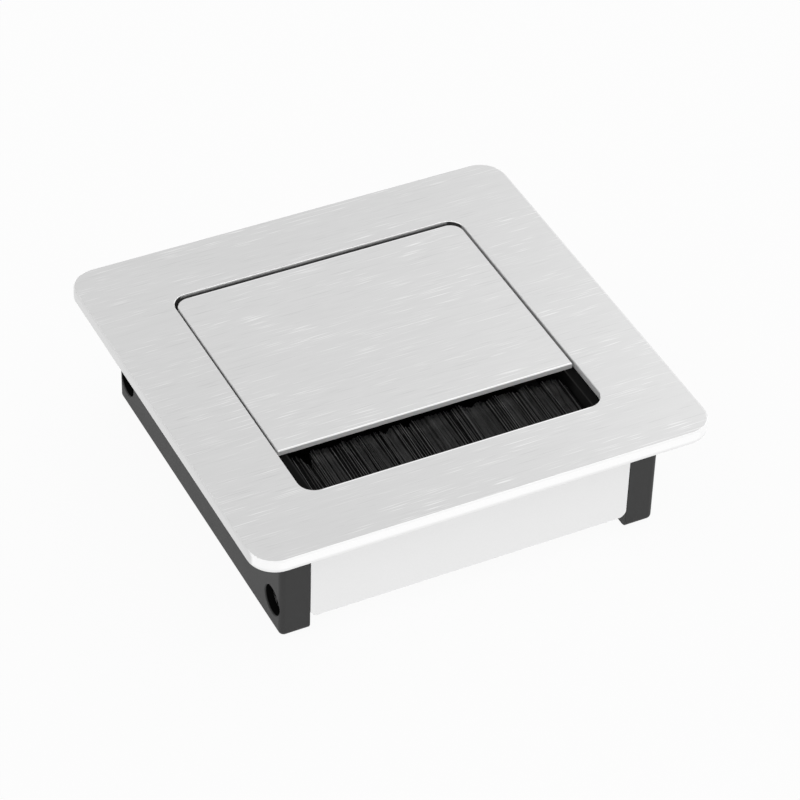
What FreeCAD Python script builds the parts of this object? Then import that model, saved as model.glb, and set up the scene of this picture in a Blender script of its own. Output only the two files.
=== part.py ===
import FreeCAD, Part

# Desk cable grommet: extruded frame, flip lid, two moulded end brackets and a strip brush.
# Millimetres. X runs along the front edge, Y to the rear, Z up. The origin is the middle of the
# footprint, on the surface that the brackets' feet stand on.

import math
import os
import re

import Sketcher
from FreeCAD import Vector

SIZES = [
    # top plate
    ("plate_width", 85.0, "plate, left to right"),
    ("plate_depth", 83.0, "plate, front to rear"),
    ("plate_thickness", 2.6, "plate"),
    ("plate_corner", 5.0, "outer corner radius of the plate"),
    ("plate_edge_round", 0.35, "rounded upper edge of the plate"),
    ("plate_lower_round", 0.6, "rounded lower edge of the plate"),
    ("window_width", 56.5, "window, left to right"),
    ("window_depth", 56.3, "window, front to rear"),
    ("window_corner", 3.0, "corner radius of the window"),
    ("window_edge_break", 0.12, "chamfer round the top of the window"),
    # body below the plate
    ("overhang", 7.0, "plate beyond the body, all round"),
    ("overall_height", 24.4, "feet to the top of the plate"),
    ("bracket_width", 5.5, "bar of the end bracket"),
    ("bracket_edge_round", 1.0, "outer edges of the bracket"),
    ("bracket_edge_break", 0.15, "chamfered upright edges beside the skirts"),
    ("foot_height", 2.7, "brackets below the skirts"),
    ("skirt_thickness", 1.5, "front and rear skirts"),
    ("skirt_corner", 1.4, "lower corners of the skirts"),
    # bracket screws and their ports
    ("screw_inset", 3.5, "screw axis behind the skirt's outer face"),
    ("screw_height", 5.7, "screw axis above the feet"),
    ("screw_diameter", 2.9, "over the thread"),
    ("screw_length", 9.5, "under the head"),
    ("screw_point", 1.6, "tapered end of the screw"),
    ("screw_tip", 0.3, "radius of the blunt tip"),
    ("head_diameter", 5.0, "pan head"),
    ("head_height", 1.9, "pan head"),
    ("head_crown", 0.9, "rounding of the pan head"),
    ("drive_width", 0.8, "arm of the cross recess"),
    ("drive_span", 2.8, "cross recess, tip to tip"),
    ("drive_depth", 1.1, "cross recess"),
    ("counterbore_diameter", 5.6, "recess for the screw head"),
    ("counterbore_depth", 3.0, "recess for the screw head"),
    ("counterbore_edge", 0.15, "broken edge of the recess"),
    ("screw_clearance", 0.1, "round the screw in the bracket"),
    ("thread_clearance", 0.02, "round the screw in its port"),
    ("port_wall", 1.0, "wall of the screw port"),
    ("port_slit", 1.6, "slit along the screw port"),
    # ledges that carry the lid
    ("ledge_reach", 2.0, "ledge inside the window's edge"),
    ("ledge_wall", 1.6, "inner wall below the ledge"),
    ("rail_height", 8.0, "ledge rail below the plate"),
    ("window_fit", 0.1, "bracket to the window's edge"),
    # cores of the moulded brackets
    ("core_inset", 8.5, "solid end of the bar"),
    ("core_wall", 1.6, "walls left round the cores"),
    ("core_rib", 1.5, "ribs between the cores"),
    ("core_count", 4, "cores in each bar"),
    ("core_depth", 14.0, "cores, from the underside"),
    ("rail_core_count", 3, "cores in each ledge rail"),
    ("rail_roof", 2.0, "solid top of the ledge rail"),
    # lid
    ("lid_thickness", 1.0, "lid sheet"),
    ("lid_recess", 0.2, "lid below the plate's top"),
    ("lid_side_gap", 0.42, "each side of the lid"),
    ("lid_rear_gap", 0.9, "behind the lid"),
    ("lid_edge_break", 0.12, "chamfer round the lid's top"),
    ("lid_seat_gap", 0.05, "lid above the ledges"),
    ("slot_depth", 11.55, "brush slot in front of the lid"),
    # hinge
    ("rod_diameter", 1.5, "hinge rod"),
    ("rod_clearance", 0.05, "round the rod"),
    ("rod_bite", 2.6, "rod inside each bracket"),
    ("rod_end_gap", 0.2, "rod to the bottom of its bearing"),
    ("rod_chamfer", 0.2, "ends of the rod"),
    ("bearing_roof", 0.2, "bracket above the hinge bearing"),
    ("hinge_setback", 7.0, "hinge line in front of the lid's rear edge"),
    ("knuckle_wall", 0.95, "wall of the hinge knuckle"),
    ("knuckle_slit", 0.9, "slit along the knuckle"),
    ("knuckle_gap", 0.3, "knuckle to each ledge rail"),
    ("web_thickness", 1.4, "web between lid and knuckle"),
    ("web_fillet", 0.4, "fillets where the web meets the lid"),
    ("swing_gap", 0.2, "bracket beside the swinging lid"),
    ("swing_front", 2.6, "swing pocket in front of the hinge line"),
    # strip brush
    ("channel_height", 3.0, "folded channel, outside"),
    ("channel_reach", 3.1, "folded channel, outside"),
    ("channel_wall", 0.5, "folded strip"),
    ("channel_bend", 0.9, "outer bend radius of the strip"),
    ("channel_fit", 0.1, "channel in its rail"),
    ("rib_thickness", 1.0, "rib under the channel"),
    ("lip_thickness", 0.5, "lip of the rib, in front of the channel's mouth"),
    ("lip_height", 0.45, "lip of the rib"),
    ("wire_diameter", 0.9, "core wire of the brush"),
    ("wire_end_gap", 1.0, "wire short of the channel's ends"),
    ("bristle_fit", 0.05, "bristles to channel and wire"),
    ("brush_end_gap", 0.3, "bristles to the ledge rails"),
    ("tuft_count", 96, "tufts along the brush"),
    ("tuft_gap", 0.06, "between neighbouring tufts"),
    ("tuft_root", 0.3, "tuft sunk in the folded root"),
    ("tip_overlap", 1.2, "bristle tips behind the lid's front edge"),
    ("tip_scatter", 0.6, "uneven bristle length, each way"),
    ("tip_width", 0.6, "tuft's width at its tip, as part of its root's"),
    ("tip_height", 0.9, "tuft's height at its tip"),
    ("tuft_sway", 0.2, "sideways lean of the tufts, each way"),
    ("tip_lift", 1.1, "rise of the tips above the root's middle"),
]

# sizes that follow from the ones above
DERIVED = {
    "body_width": "plate_width - 2 * overhang",
    "body_depth": "plate_depth - 2 * overhang",
    "plate_bottom": "overall_height - plate_thickness",
    "lid_top": "overall_height - lid_recess",
    "lid_bottom": "lid_top - lid_thickness",
    "lid_half": "window_width / 2 - lid_side_gap",
    "lid_rear": "window_depth / 2 - lid_rear_gap",
    "lid_front": "slot_depth - window_depth / 2",
    "bore_radius": "rod_diameter / 2 + rod_clearance",
    "hinge_y": "lid_rear - hinge_setback",
    "hinge_z": "plate_bottom - bearing_roof - bore_radius",
    "hinge_drop": "lid_top - hinge_z",
    "bearing_face": "lid_half + swing_gap",
    "knuckle_radius": "bore_radius + knuckle_wall",
    "bar_inner": "body_width / 2 - bracket_width",
    "rail_inner": "window_width / 2 - ledge_reach",
    "rail_bottom": "plate_bottom - rail_height",
    "knuckle_half": "rail_inner - knuckle_gap",
    "ledge_top": "lid_bottom - lid_seat_gap",
    "pocket_front": "hinge_y - swing_front",
    "skirt_outer": "body_depth / 2",
    "skirt_inner": "skirt_outer - skirt_thickness",
    "screw_y": "skirt_outer - screw_inset",
    "port_bore": "screw_diameter / 2 + thread_clearance",
    "port_radius": "port_bore + port_wall",
    "screw_seat": "body_width / 2 - counterbore_depth",
    "channel_back": "channel_fit - skirt_inner",
    "channel_mouth": "channel_back + channel_reach",
    "channel_top": "plate_bottom - channel_fit",
    "channel_bottom": "channel_top - channel_height",
    "rib_top": "channel_bottom - channel_fit",
    "lip_back": "channel_mouth + channel_fit",
    "core_length": "(body_depth - 2 * core_inset - (core_count - 1) * core_rib) / core_count",
    "rail_front": "max(window_fit - window_depth / 2; lip_back + lip_thickness + window_fit)",
    "rail_core_start": "rail_front + core_wall",
    "rail_core_span": "pocket_front - core_wall - rail_core_start",
    "rail_core_length": "(rail_core_span - (rail_core_count - 1) * core_rib) / rail_core_count",
}

# lengths this close count as the same, and so does a direction with this share along an axis
SAME = 0.01
ALONG = 0.999

DOC = FreeCAD.newDocument("cable_grommet")
SHEET = DOC.addObject("Spreadsheet::Sheet", "sizes")


def fill_sheet():
    """Write every driving size into the sheet, with its own alias."""
    for row, (alias, number, note) in enumerate(SIZES, start=1):
        SHEET.set(f"A{row}", alias)
        SHEET.set(f"B{row}", str(number))
        SHEET.set(f"C{row}", note)
        SHEET.setAlias(f"B{row}", alias)
    DOC.recompute()


def tied(text):
    """Expression on the sheet's cells, with the derived sizes written out."""
    def swap(match):
        word = match.group()
        return f"({tied(DERIVED[word])})" if word in DERIVED else f"sizes.{word}"
    return re.sub(r"[a-z]\w*\b(?!\()", swap, text)


def size(text):
    """Present value of an expression."""
    return float(SHEET.evalExpression(tied(text)))


def new_body(label, at=("0", "0", "0")):
    """Body with its own label, placed by three expressions."""
    body = DOC.addObject("PartDesign::Body", label)
    body.Label = label
    for axis, text in zip("xyz", at):
        body.setExpression(f"Placement.Base.{axis}", tied(text))
    return body


def plane(body, role):
    """One of the body's own origin planes."""
    return next(item for item in body.Origin.OriginFeatures if item.Role == role)


def sketch_on(body, name, role, offset="0"):
    """Empty sketch on an origin plane of the body, moved along the plane's normal."""
    sketch = body.newObject("Sketcher::SketchObject", name)
    sketch.AttachmentSupport = (plane(body, role), [""])
    sketch.MapMode = "FlatFace"
    sketch.setExpression("AttachmentOffset.Base.z", tied(offset))
    return sketch


def hold(sketch, edge, end, point):
    """Hold one end of an edge at a point given by two expressions."""
    for kind, text in zip(("DistanceX", "DistanceY"), point):
        index = sketch.addConstraint(Sketcher.Constraint(kind, -1, 1, edge, end, size(text)))
        sketch.setExpression(f"Constraints[{index}]", tied(text))


def polygon(sketch, points):
    """Closed outline through points given by expressions."""
    first = sketch.GeometryCount
    spots = [Vector(size(x), size(y), 0) for x, y in points]
    count = len(points)
    for i in range(count):
        sketch.addGeometry(Part.LineSegment(spots[i], spots[(i + 1) % count]), False)
    for i in range(count):
        after = first + (i + 1) % count
        sketch.addConstraint(Sketcher.Constraint("Coincident", first + i, 2, after, 1))
    for i in range(count):
        hold(sketch, first + i, 1, points[i])


def rectangle(sketch, left, right, low, high):
    """Rectangle between two x and two y expressions."""
    polygon(sketch, [(left, low), (right, low), (right, high), (left, high)])


def circle(sketch, centre, radius):
    """Circle whose centre and radius are expressions."""
    spot = Vector(size(centre[0]), size(centre[1]), 0)
    edge = sketch.addGeometry(Part.Circle(spot, Vector(0, 0, 1), size(radius)), False)
    hold(sketch, edge, 3, centre)
    index = sketch.addConstraint(Sketcher.Constraint("Radius", edge, size(radius)))
    sketch.setExpression(f"Constraints[{index}]", tied(radius))


def extrude(body, kind, name, sketch, length, both_ways=False, reverse=False):
    """Pad or pocket of a sketch, checked for adding or removing material."""
    before = body.Shape.Volume if body.Tip else 0.0
    feature = body.newObject(f"PartDesign::{kind}", name)
    feature.Profile = sketch
    feature.SideType = "Symmetric" if both_ways else "One side"
    feature.Reversed = reverse
    feature.setExpression("Length", tied(length))
    DOC.recompute()
    change = body.Shape.Volume - before
    if (change > 0) != (kind == "Pad"):
        raise RuntimeError(f"{body.Label}: {name} points the wrong way")
    return feature


def dress(body, kind, name, amount, test):
    """Fillet or chamfer on every edge of the body that passes a test."""
    base = body.Tip
    edges = [f"Edge{i}" for i, edge in enumerate(base.Shape.Edges, start=1)
             if not edge.Degenerated and test(edge)]
    feature = body.newObject(f"PartDesign::{kind}", name)
    feature.Base = (base, edges)
    feature.setExpression("Radius" if kind == "Fillet" else "Size", tied(amount))
    DOC.recompute()
    return feature


def near(a, b):
    """Whether two lengths are the same."""
    return abs(a - b) < SAME


def runs_along(edge, axis):
    """Whether a straight edge runs along an axis."""
    if edge.Curve.TypeId != "Part::GeomLine":
        return False
    return abs(getattr(edge.Curve.Direction, axis)) > ALONG


def middle(edge):
    """Centre of an edge's box."""
    return edge.BoundBox.Center


def lies_at(edge, axis, place):
    """Whether the whole edge lies in a plane across an axis."""
    box = edge.BoundBox
    low, high = getattr(box, f"{axis.upper()}Min"), getattr(box, f"{axis.upper()}Max")
    return near(low, place) and near(high, place)


def port_circles(body, name, radius):
    """Sketch with one circle at each screw axis of the skirts."""
    sketch = sketch_on(body, name, "YZ_Plane")
    for side in ("-1", "1"):
        circle(sketch, (f"{side} * screw_y", "screw_height - plate_bottom"), radius)
    return sketch


def make_top_frame():
    """Extruded frame: plate with its window, two skirts, screw ports and the brush rail.

    It is placed by the plate's underside, the face that rests on the desk.
    """
    body = new_body("top_frame", ("0", "0", "plate_bottom"))
    plate = sketch_on(body, "plate_outline", "XY_Plane")
    rectangle(plate, "-plate_width / 2", "plate_width / 2", "-plate_depth / 2", "plate_depth / 2")
    extrude(body, "Pad", "plate", plate, "plate_thickness")
    dress(body, "Fillet", "plate_corners", "plate_corner", lambda e: runs_along(e, "z"))

    window = sketch_on(body, "window_outline", "XY_Plane", "plate_thickness")
    rectangle(window, "-window_width / 2", "window_width / 2", "-window_depth / 2", "window_depth / 2")
    extrude(body, "Pocket", "window", window, "plate_thickness")
    edge_of_window = size("window_width / 2")
    dress(body, "Fillet", "window_corners", "window_corner",
          lambda e: runs_along(e, "z") and near(abs(middle(e).x), edge_of_window))

    top = size("plate_thickness")
    reach_x, reach_y = size("window_width / 2"), size("window_depth / 2")

    def in_window(edge):
        spot = middle(edge)
        return abs(spot.x) < reach_x + SAME and abs(spot.y) < reach_y + SAME

    dress(body, "Fillet", "plate_edge", "plate_edge_round",
          lambda e: lies_at(e, "z", top) and not in_window(e))
    dress(body, "Fillet", "plate_lower_edge", "plate_lower_round",
          lambda e: lies_at(e, "z", 0) and not in_window(e))
    dress(body, "Chamfer", "window_edge", "window_edge_break",
          lambda e: lies_at(e, "z", top) and in_window(e))

    skirt_end = "foot_height - plate_bottom"
    rib_top = "rib_top - plate_bottom"
    rear = sketch_on(body, "rear_skirt_section", "YZ_Plane")
    rectangle(rear, "skirt_inner", "skirt_outer", skirt_end, "0")
    extrude(body, "Pad", "rear_skirt", rear, "2 * bar_inner", both_ways=True)
    front = sketch_on(body, "front_skirt_section", "YZ_Plane")
    polygon(front, [
        ("-skirt_outer", skirt_end),
        ("-skirt_inner", skirt_end),
        ("-skirt_inner", f"{rib_top} - rib_thickness"),
        ("lip_back + lip_thickness", f"{rib_top} - rib_thickness"),
        ("lip_back + lip_thickness", f"{rib_top} + lip_height"),
        ("lip_back", f"{rib_top} + lip_height"),
        ("lip_back", rib_top),
        ("-skirt_inner", rib_top),
        ("-skirt_inner", "0"),
        ("-skirt_outer", "0"),
    ])
    extrude(body, "Pad", "front_skirt", front, "2 * bar_inner", both_ways=True)
    end, foot = size("bar_inner"), size(skirt_end)
    dress(body, "Fillet", "skirt_corners", "skirt_corner",
          lambda e: runs_along(e, "y") and near(abs(middle(e).x), end) and near(middle(e).z, foot))

    extrude(body, "Pad", "screw_ports", port_circles(body, "port_outline", "port_radius"),
            "2 * bar_inner", both_ways=True)
    extrude(body, "Pocket", "port_bores", port_circles(body, "bore_outline", "port_bore"),
            "2 * bar_inner", both_ways=True)
    slits = sketch_on(body, "slit_outline", "YZ_Plane")
    level = "screw_height - plate_bottom"
    for side in ("-1", "1"):
        rectangle(slits, f"{side} * (screw_y - port_radius - port_wall)", f"{side} * screw_y",
                  f"{level} - port_slit / 2", f"{level} + port_slit / 2")
    extrude(body, "Pocket", "port_slits", slits, "2 * bar_inner", both_ways=True)
    return body


def make_bracket(label, side):
    """Moulded end bracket; side is -1 for the left end and 1 for the right end.

    It is placed by the inner face of its bar, and X is measured outwards from there.
    """
    def out(text):
        return f"{side} * ({text} - bar_inner)"

    body = new_body(label, (f"{side} * bar_inner", "0", "0"))
    # the ledge stands up inside the window and follows its rounded front corner
    block_inner, block_outer = "rail_inner - window_corner", "window_width / 2 - window_fit"
    window_side = "window_depth / 2 - window_fit"
    ledge = sketch_on(body, "ledge_outline", "XY_Plane", "plate_bottom")
    rectangle(ledge, out(block_inner), out(block_outer), f"-({window_side})", "pocket_front")
    extrude(body, "Pad", "ledge", ledge, "ledge_top - plate_bottom")
    corner_x, corner_y = size(out(block_outer)), -size(window_side)
    dress(body, "Fillet", "ledge_corner", "window_corner - window_fit",
          lambda e: runs_along(e, "z") and near(middle(e).x, corner_x) and near(middle(e).y, corner_y))
    trim = sketch_on(body, "ledge_trim_outline", "XY_Plane", "ledge_top")
    rectangle(trim, out(f"{block_inner} - window_fit"), out("rail_inner"),
              "-window_depth / 2", "pocket_front + window_fit")
    extrude(body, "Pocket", "ledge_trim", trim, "ledge_top - plate_bottom")

    rail = sketch_on(body, "rail_outline", "XY_Plane", "rail_bottom")
    rectangle(rail, out("rail_inner"), out("bar_inner"), "rail_front", window_side)
    extrude(body, "Pad", "rail", rail, "rail_height")
    bar = sketch_on(body, "bar_outline", "XY_Plane")
    rectangle(bar, out("bar_inner"), out("body_width / 2"), "-skirt_outer", "skirt_outer")
    extrude(body, "Pad", "bar", bar, "plate_bottom")
    end = size("skirt_outer")

    def upright(edge):
        return runs_along(edge, "z") and near(abs(middle(edge).y), end)

    dress(body, "Fillet", "outer_edges", "bracket_edge_round",
          lambda e: not near(middle(e).x, 0) and (upright(e) or lies_at(e, "z", 0)))
    dress(body, "Chamfer", "inner_edges", "bracket_edge_break",
          lambda e: near(middle(e).x, 0) and upright(e))

    swing = sketch_on(body, "swing_outline", "XY_Plane", "ledge_top")
    rectangle(swing, out("rail_inner - window_fit"), out("bearing_face"),
              "pocket_front", "window_depth / 2")
    extrude(body, "Pocket", "swing_pocket", swing, "ledge_top - rail_bottom")
    bearing = sketch_on(body, "bearing_outline", "YZ_Plane", out("bearing_face"))
    circle(bearing, ("hinge_y", "hinge_z"), "bore_radius")
    extrude(body, "Pocket", "bearing", bearing, "rod_bite + rod_end_gap", reverse=side > 0)

    make_cores(body, "bar", out, "0", "core_depth", "core_count", "core_length",
               ("bar_inner + core_wall", "body_width / 2 - core_wall"), "core_inset - skirt_outer")
    make_cores(body, "rail", out, "rail_bottom", "rail_height - rail_roof", "rail_core_count",
               "rail_core_length", ("rail_inner + ledge_wall", "bar_inner"), "rail_core_start")
    make_screw_holes(body, out, side)
    return body


def make_cores(body, name, out, level, depth, count, length, across, start):
    """Row of cores from below, with ribs left between them."""
    sketch = sketch_on(body, f"{name}_core_outline", "XY_Plane", level)
    rectangle(sketch, out(across[0]), out(across[1]), start, f"{start} + {length}")
    first = extrude(body, "Pocket", f"{name}_core", sketch, depth, reverse=True)
    row = body.newObject("PartDesign::LinearPattern", f"{name}_cores")
    row.Originals = [first]
    row.Direction = (sketch, ["V_Axis"])
    row.Mode = "Spacing"
    row.setExpression("Offset", tied(f"{length} + core_rib"))
    row.setExpression("Occurrences", tied(count))
    body.Tip = row
    DOC.recompute()


def make_screw_holes(body, out, side):
    """Two counterbored holes for the bracket screws."""
    sketch = sketch_on(body, "screw_hole_centres", "YZ_Plane", out("body_width / 2"))
    for end in ("-1", "1"):
        circle(sketch, (f"{end} * screw_y", "screw_height"), "screw_diameter / 2")
    DOC.recompute()
    holes = body.newObject("PartDesign::Hole", "screw_holes")
    holes.Profile = sketch
    holes.ThreadType = "None"
    holes.HoleCutType = "Counterbore"
    holes.HoleCutCustomValues = True
    holes.DepthType = "Dimension"
    holes.DrillPoint = "Flat"
    holes.Reversed = side < 0
    holes.setExpression("Diameter", tied("screw_diameter + 2 * screw_clearance"))
    holes.setExpression("Depth", tied("bracket_width"))
    holes.setExpression("HoleCutDiameter", tied("counterbore_diameter"))
    holes.setExpression("HoleCutDepth", tied("counterbore_depth"))
    DOC.recompute()
    rim, face = size("counterbore_diameter / 2"), size(out("body_width / 2"))
    dress(body, "Chamfer", "counterbore_rims", "counterbore_edge",
          lambda e: lies_at(e, "x", face) and e.Curve.TypeId == "Part::GeomCircle"
          and near(e.Curve.Radius, rim))


def make_bracket_screws():
    """Four pan-head screws: one is turned, then mirrored to the other three corners."""
    body = new_body("bracket_screws", ("0", "0", "screw_height"))
    body.AllowCompound = True
    under_head, tip = "screw_seat", "screw_seat - screw_length"
    section = sketch_on(body, "screw_section", "XY_Plane")
    axis = "screw_y"
    polygon(section, [
        (tip, axis),
        (f"{under_head} + head_height", axis),
        (f"{under_head} + head_height", f"{axis} + head_diameter / 2 - head_crown"),
        (f"{under_head} + head_height - head_crown / 2", f"{axis} + head_diameter / 2"),
        (under_head, f"{axis} + head_diameter / 2"),
        (under_head, f"{axis} + screw_diameter / 2"),
        (f"{tip} + screw_point", f"{axis} + screw_diameter / 2"),
        (tip, f"{axis} + screw_tip"),
    ])
    screw = body.newObject("PartDesign::Revolution", "turned_screw")
    screw.Profile = section
    screw.ReferenceAxis = (section, ["Edge1"])
    DOC.recompute()
    recess = sketch_on(body, "drive_outline", "YZ_Plane", f"{under_head} + head_height")
    long, short = "drive_span / 2", "drive_width / 2"
    arms = [(long, short), (short, short), (short, long)]
    points = []
    for turn in range(4):
        for x, y in arms:
            for _ in range(turn):
                x, y = f"-({y})", x
            points.append((f"{axis} + {x}", y))
    polygon(recess, points)
    drive = extrude(body, "Pocket", "drive_recess", recess, "drive_depth")
    corners = body.newObject("PartDesign::MultiTransform", "four_screws")
    corners.Originals = [screw, drive]
    mirrors = []
    for role in ("XZ_Plane", "YZ_Plane"):
        mirror = body.newObject("PartDesign::Mirrored", f"mirror_{role[:2].lower()}")
        mirror.MirrorPlane = (plane(body, role), [""])
        mirrors.append(mirror)
    corners.Transformations = mirrors
    body.Tip = corners
    DOC.recompute()
    return body


def make_lid():
    """Extruded lid with a web and an open hinge knuckle, placed by its hinge line."""
    body = new_body("lid", ("0", "hinge_y", "hinge_z"))
    sheet = sketch_on(body, "lid_outline", "XY_Plane", "hinge_drop - lid_thickness")
    rectangle(sheet, "-lid_half", "lid_half", "lid_front - hinge_y", "hinge_setback")
    extrude(body, "Pad", "lid_sheet", sheet, "lid_thickness")
    rear = size("hinge_setback")
    dress(body, "Fillet", "lid_corners", "window_corner - lid_side_gap",
          lambda e: runs_along(e, "z") and near(middle(e).y, rear))
    top = size("hinge_drop")
    dress(body, "Chamfer", "lid_edge", "lid_edge_break", lambda e: lies_at(e, "z", top))

    web = sketch_on(body, "web_section", "YZ_Plane")
    rectangle(web, "-web_thickness / 2", "web_thickness / 2", "0", "hinge_drop - lid_thickness")
    extrude(body, "Pad", "web", web, "2 * knuckle_half", both_ways=True)
    underside, face = size("hinge_drop - lid_thickness"), size("web_thickness / 2")
    dress(body, "Fillet", "web_fillets", "web_fillet",
          lambda e: runs_along(e, "x") and near(middle(e).z, underside) and near(abs(middle(e).y), face))
    knuckle = sketch_on(body, "knuckle_section", "YZ_Plane")
    circle(knuckle, ("0", "0"), "knuckle_radius")
    extrude(body, "Pad", "knuckle", knuckle, "2 * knuckle_half", both_ways=True)
    bore = sketch_on(body, "knuckle_bore_section", "YZ_Plane")
    circle(bore, ("0", "0"), "bore_radius")
    extrude(body, "Pocket", "knuckle_bore", bore, "2 * knuckle_half", both_ways=True)
    slit = sketch_on(body, "knuckle_slit_section", "YZ_Plane")
    rectangle(slit, "-knuckle_slit / 2", "knuckle_slit / 2", "-knuckle_radius - knuckle_slit", "0")
    extrude(body, "Pocket", "knuckle_opening", slit, "2 * knuckle_half", both_ways=True)
    return body


def make_hinge_rod():
    """Rod through the knuckle, with its ends in the brackets' bearings."""
    body = new_body("hinge_rod", ("0", "hinge_y", "hinge_z"))
    section = sketch_on(body, "rod_section", "YZ_Plane")
    circle(section, ("0", "0"), "rod_diameter / 2")
    extrude(body, "Pad", "rod", section, "2 * (bearing_face + rod_bite)", both_ways=True)
    dress(body, "Chamfer", "rod_ends", "rod_chamfer",
          lambda e: e.Curve.TypeId == "Part::GeomCircle")
    return body


def make_brush_channel():
    """Strip folded to a channel that grips the brush, placed by the middle of its mouth."""
    body = new_body("brush_channel", ("0", "channel_mouth", "channel_bottom + channel_height / 2"))
    section = sketch_on(body, "channel_section", "YZ_Plane")
    high, inner = "channel_height / 2", "channel_height / 2 - channel_wall"
    polygon(section, [
        ("-channel_reach", f"-({high})"),
        ("0", f"-({high})"),
        ("0", f"-({inner})"),
        ("channel_wall - channel_reach", f"-({inner})"),
        ("channel_wall - channel_reach", inner),
        ("0", inner),
        ("0", high),
        ("-channel_reach", high),
    ])
    extrude(body, "Pad", "channel", section, "2 * (bar_inner - channel_fit)", both_ways=True)
    back, fold = size("-channel_reach"), size("channel_wall - channel_reach")
    dress(body, "Fillet", "outer_bends", "channel_bend",
          lambda e: runs_along(e, "x") and near(middle(e).y, back))
    dress(body, "Fillet", "inner_bends", "channel_bend - channel_wall",
          lambda e: runs_along(e, "x") and near(middle(e).y, fold))
    return body


WIRE_BACK = "channel_wall + bristle_fit + wire_diameter / 2 + bristle_fit + tuft_root"


def make_brush_wire():
    """Core wire that the bristles are folded round, inside the channel."""
    body = new_body("brush_wire", ("0", f"channel_back + {WIRE_BACK}", "channel_bottom + channel_height / 2"))
    section = sketch_on(body, "wire_section", "YZ_Plane")
    circle(section, ("0", "0"), "wire_diameter / 2")
    extrude(body, "Pad", "wire", section, "2 * (bar_inner - channel_fit - wire_end_gap)", both_ways=True)
    return body


def folded_root(half_length, back, mouth, half_height, wire_y, wire_bore):
    """Bristles folded round the wire: a block with a rounded back and the wire's bore."""
    block = Part.makeBox(2 * half_length, mouth - back, 2 * half_height,
                         Vector(-half_length, back, -half_height))
    backs = [e for e in block.Edges if runs_along(e, "x") and near(middle(e).y, back)]
    block = block.makeFillet(size("channel_bend - channel_wall"), backs)
    bore = Part.makeCylinder(wire_bore, 2 * half_length, Vector(-half_length, wire_y, 0), Vector(1, 0, 0))
    return block.cut(bore)


def flat(points):
    """Flat face through points given in order."""
    return Part.Face(Part.makePolygon(points + points[:1]))


def wedge(sections):
    """Solid through rectangles (y, middle x, middle z, width, height), with flat faces."""
    rings = []
    for y, x, z, wide, high in sections:
        corners = ((-1, -1), (1, -1), (1, 1), (-1, 1))
        rings.append([Vector(x + a * wide / 2, y, z + b * high / 2) for a, b in corners])
    faces = [flat(rings[0]), flat(rings[-1])]
    for near_ring, far_ring in zip(rings, rings[1:]):
        for i in range(4):
            j = (i + 1) % 4
            faces.append(flat([near_ring[i], near_ring[j], far_ring[j], far_ring[i]]))
    return Part.makeSolid(Part.makeShell(faces))


# a tuft bends at this part of its length, with this part of its lean and rise
TUFT_BEND = 0.55
BEND_SHARE = 0.3

# turn of the uneven length and of the lean from one tuft to the next, in radians
LENGTH_TURN = 1.9
LEAN_TURN = 0.41


def wander(count, turn):
    """Number from -1 to 1 that changes unevenly from one tuft to the next."""
    return math.sin(turn * count + 2 * math.sin(turn * count / 3))


def tuft(x, width, root, tip, root_height, sway):
    """One tuft: a flat wedge that narrows, thins and leans towards its tip."""
    lift, tip_height = size("tip_lift"), size("tip_height")
    bend = root + TUFT_BEND * (tip - root)
    return wedge([
        (root, x, 0.0, width, root_height),
        (bend, x + BEND_SHARE * sway, BEND_SHARE * lift, width, (root_height + tip_height) / 2),
        (tip, x + sway, lift, width * size("tip_width"), tip_height),
    ])


def make_brush_bristles():
    """Bristles: a folded root in the channel and a row of uneven tufts."""
    half = size("rail_inner - brush_end_gap")
    back = size("channel_back + channel_wall + bristle_fit - channel_mouth")
    root_height = size("channel_height - 2 * channel_wall - 2 * bristle_fit")
    wire_y = size(f"channel_back + {WIRE_BACK} - channel_mouth")
    wire_bore = size("wire_diameter / 2 + bristle_fit")
    root = folded_root(half, back, 0.0, root_height / 2, wire_y, wire_bore)

    count = int(size("tuft_count"))
    pitch = 2 * half / count
    reach = size("lid_front + tip_overlap - channel_mouth")
    tufts = []
    for i in range(count):
        x = -half + (i + 1 / 2) * pitch
        sway = size("tuft_sway") * wander(i, LEAN_TURN)
        tip = reach + size("tip_scatter") * wander(i, LENGTH_TURN)
        tufts.append(tuft(x, pitch - size("tuft_gap"), -size("tuft_root"), tip, root_height, sway))
    feature = DOC.addObject("Part::Feature", "brush_bristles")
    feature.Shape = root.multiFuse(tufts)
    feature.Placement.Base = Vector(0, size("channel_mouth"), size("channel_bottom + channel_height / 2"))
    return feature


def check(objects):
    """Stop if any object failed or any sub-part has no valid solid."""
    for item in DOC.Objects:
        if "Invalid" in item.State or "Error" in item.State:
            raise RuntimeError(f"{item.Name} failed: {item.State}")
    for item in objects:
        if item.Shape.isNull() or not item.Shape.isValid() or not item.Shape.Solids:
            raise RuntimeError(f"{item.Label} has no valid solid")


def main():
    fill_sheet()
    parts = [
        make_top_frame(),
        make_bracket("left_bracket", -1),
        make_bracket("right_bracket", 1),
        make_bracket_screws(),
        make_lid(),
        make_hinge_rod(),
        make_brush_channel(),
        make_brush_wire(),
        make_brush_bristles(),
    ]
    DOC.recompute()
    check(parts)
    os.makedirs("parts", exist_ok=True)
    for item in parts:
        item.Shape.exportStep(f"parts/{item.Label}.step")
        print(item.Label, len(item.Shape.Solids), "solids", round(item.Shape.Volume, 1), "mm3")


main()
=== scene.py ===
"""Desk cable grommet: its finishes, the filaments of its brush, a studio and the camera."""
import logging
import math
import random
from dataclasses import dataclass, field
from enum import Enum

import bpy
from mathutils import Matrix, Vector


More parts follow.
